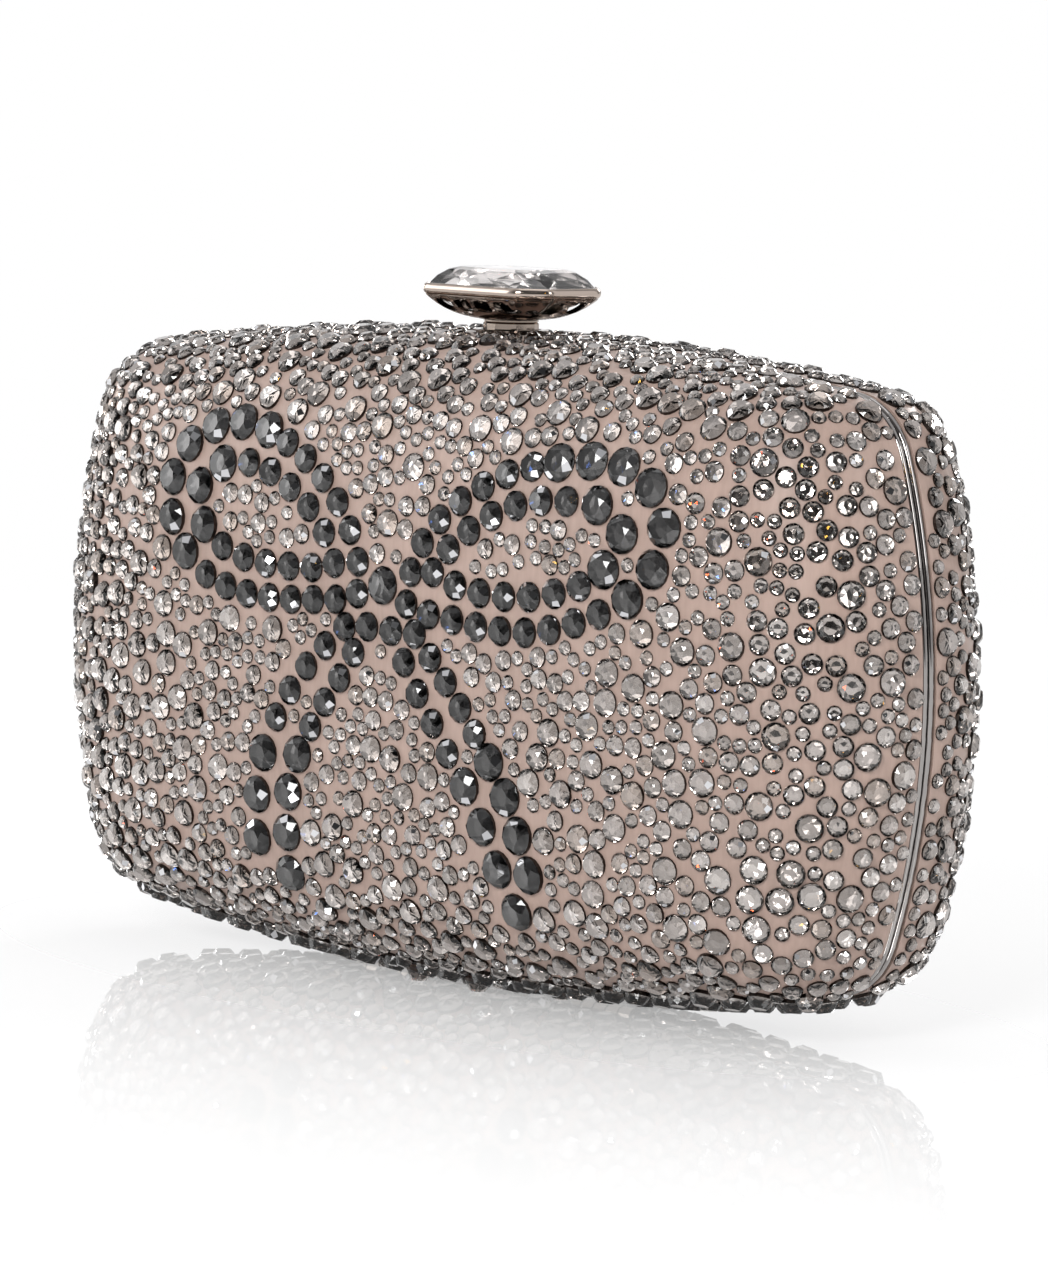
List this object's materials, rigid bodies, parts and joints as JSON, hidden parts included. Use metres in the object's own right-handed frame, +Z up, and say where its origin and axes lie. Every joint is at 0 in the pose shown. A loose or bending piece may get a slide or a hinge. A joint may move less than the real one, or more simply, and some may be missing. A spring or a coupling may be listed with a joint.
{
  "type": "box clutch",
  "caption": "Pillow-shaped hard clutch covered in flat-backed crystals, two bottom-hinged halves with metal rims and a press-down crystal clasp on top.",
  "frame": {"origin": "on the floor under the middle of the closed clutch", "axes": "+X along the width, -Y towards the front with the bow, +Z up, halves meeting in the plane y = 0"},
  "size_m": [0.165, 0.0513, 0.1011],
  "materials": {
    "rose_satin": "pale rose satin glued over the shell",
    "lining_satin": "matte satin lining",
    "moulded_shell": "moulded",
    "dark_nickel": "polished dark nickel plate",
    "spring_steel": "plain steel",
    "smoke_crystal": "foil-backed smoky crystal",
    "dark_crystal": "foil-backed near-black crystal",
    "clear_crystal": "polished facets"
  },
  "bodies": {
    "back_half": {"back_cover": "rose_satin", "back_shell": "moulded_shell", "back_lining": "lining_satin", "back_rim": "dark_nickel", "back_base_crystal_1": "smoke_crystal", "back_base_crystal_2": "smoke_crystal", "back_base_crystal_3": "smoke_crystal", "back_base_crystal_4": "smoke_crystal", "back_base_crystal_5": "smoke_crystal", "back_base_crystal_6": "smoke_crystal", "left_hinge_back_leaf": "dark_nickel", "left_hinge_back_rivet_outer": "dark_nickel", "left_hinge_back_rivet_inner": "dark_nickel", "left_hinge_pin": "dark_nickel", "left_latch_screw": "dark_nickel", "right_hinge_back_leaf": "dark_nickel", "right_hinge_back_rivet_outer": "dark_nickel", "right_hinge_back_rivet_inner": "dark_nickel", "right_hinge_pin": "dark_nickel", "right_latch_screw": "dark_nickel", "clasp_collar": "dark_nickel", "latch_bracket": "spring_steel", "latch_spring": "spring_steel"},
    "front_half": {"front_cover": "rose_satin", "front_shell": "moulded_shell", "front_lining": "lining_satin", "front_rim": "dark_nickel", "front_base_crystal_1": "smoke_crystal", "front_base_crystal_2": "smoke_crystal", "front_base_crystal_3": "smoke_crystal", "front_base_crystal_4": "smoke_crystal", "front_base_crystal_5": "smoke_crystal", "front_base_crystal_6": "smoke_crystal", "left_hinge_front_leaf": "dark_nickel", "left_hinge_front_rivet_outer": "dark_nickel", "left_hinge_front_rivet_inner": "dark_nickel", "left_catch_rivet": "dark_nickel", "right_hinge_front_leaf": "dark_nickel", "right_hinge_front_rivet_outer": "dark_nickel", "right_hinge_front_rivet_inner": "dark_nickel", "right_catch_rivet": "dark_nickel", "catch_plate": "spring_steel"},
    "clasp": {"clasp_crystal": "clear_crystal", "clasp_bezel": "dark_nickel", "clasp_stem": "dark_nickel", "latch_slide": "spring_steel", "latch_clip": "spring_steel"}
  },
  "joints": [
    {"name": "bag_hinge", "type": "hinge", "parent": "back_half", "child": "front_half", "pos_m": [0, 0, 0.0017], "axis": [1, 0, 0], "range_deg": [0, 95]},
    {"name": "clasp_press", "type": "slide", "parent": "back_half", "child": "clasp", "axis": [0, 0, -1], "range_m": [0, 0.0012], "stiffness_N_per_m": 1500, "springref_m": -0.0015, "deforming": ["latch_spring"]}
  ]
}
